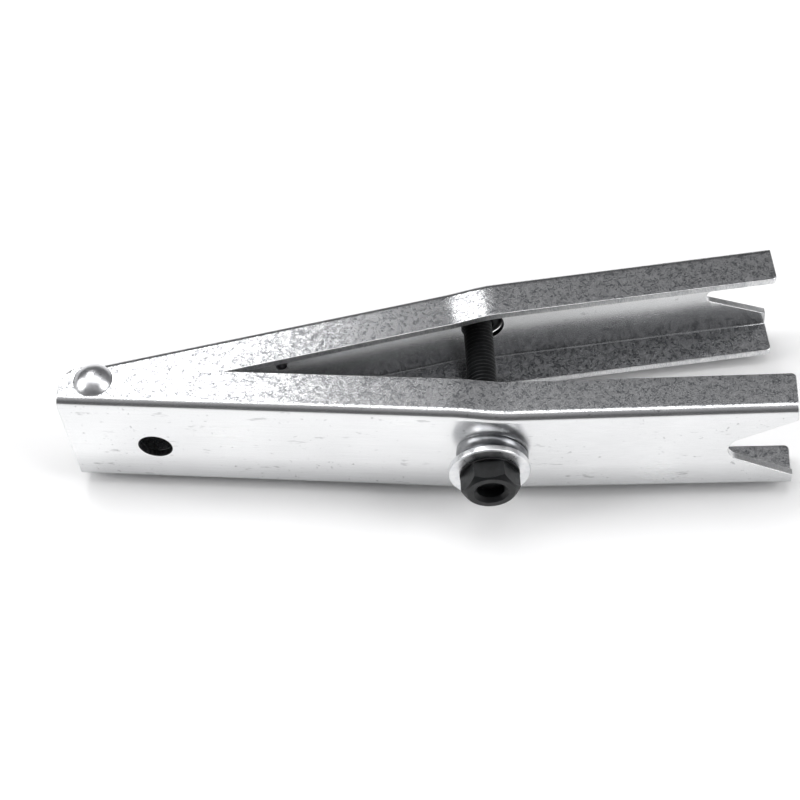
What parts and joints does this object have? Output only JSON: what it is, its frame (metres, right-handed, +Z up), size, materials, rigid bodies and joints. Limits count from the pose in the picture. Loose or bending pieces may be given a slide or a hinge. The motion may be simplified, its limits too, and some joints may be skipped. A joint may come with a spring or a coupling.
{
  "type": "ball joint separator",
  "caption": "Ball joint separator: hinged steel channel arms with V-forked ends, drawn together by a hex-head forcing bolt on ball seats.",
  "frame": {"origin": "under the middle of the tool's box, on the plane it lies on", "axes": "+X from the hinge along the outer arm to the fork tips, +Y from the outer arm across to the inner arm, +Z up along the hinge rivet"},
  "size_m": [0.243, 0.0912, 0.0517],
  "materials": {
    "zinc_steel": "zinc-plated sheet steel, satin web, mottled flanges",
    "bright_steel": "bright turned steel",
    "black_oxide": "black oxide with a light oil sheen"
  },
  "bodies": {
    "outer": {"outer_arm": "zinc_steel", "hinge_rivet": "bright_steel", "hinge_sleeve": "bright_steel", "seat_ring": "bright_steel"},
    "inner": {"inner_arm": "zinc_steel"},
    "washer": {"ball_washer": "bright_steel"},
    "bolt": {"forcing_bolt": "black_oxide"},
    "nut": {"ball_nut": "black_oxide"}
  },
  "joints": [
    {"name": "bolt_tilt", "type": "hinge", "parent": "outer", "child": "washer", "pos_m": [0.02272, -0.03884, 0.02585], "axis": [0, 0, 1], "range_deg": [-4.9, 0.7]},
    {"name": "bolt_spin", "type": "hinge", "parent": "washer", "child": "bolt", "pos_m": [0.02272, -0.03884, 0.02585], "axis": [-0.1452, 0.9894, 0], "range_deg": [-546, 5187]},
    {"name": "arm_hinge", "type": "hinge", "parent": "outer", "child": "inner", "pos_m": [-0.11027, -0.02014, 0.02585], "axis": [0, 0, 1], "range_deg": [-9.6, 1.1]},
    {"name": "nut_tilt", "type": "hinge", "parent": "inner", "child": "nut", "pos_m": [0.01174, 0.03599, 0.02585], "axis": [0, 0, 1], "range_deg": [-0.7, 4.9]}
  ],
  "couplings": [
    {"joint": "arm_hinge", "follows": "bolt_spin", "ratio": -0.0018315},
    {"joint": "bolt_tilt", "follows": "bolt_spin", "ratio": -0.00091575},
    {"joint": "nut_tilt", "follows": "bolt_spin", "ratio": 0.00091575}
  ]
}
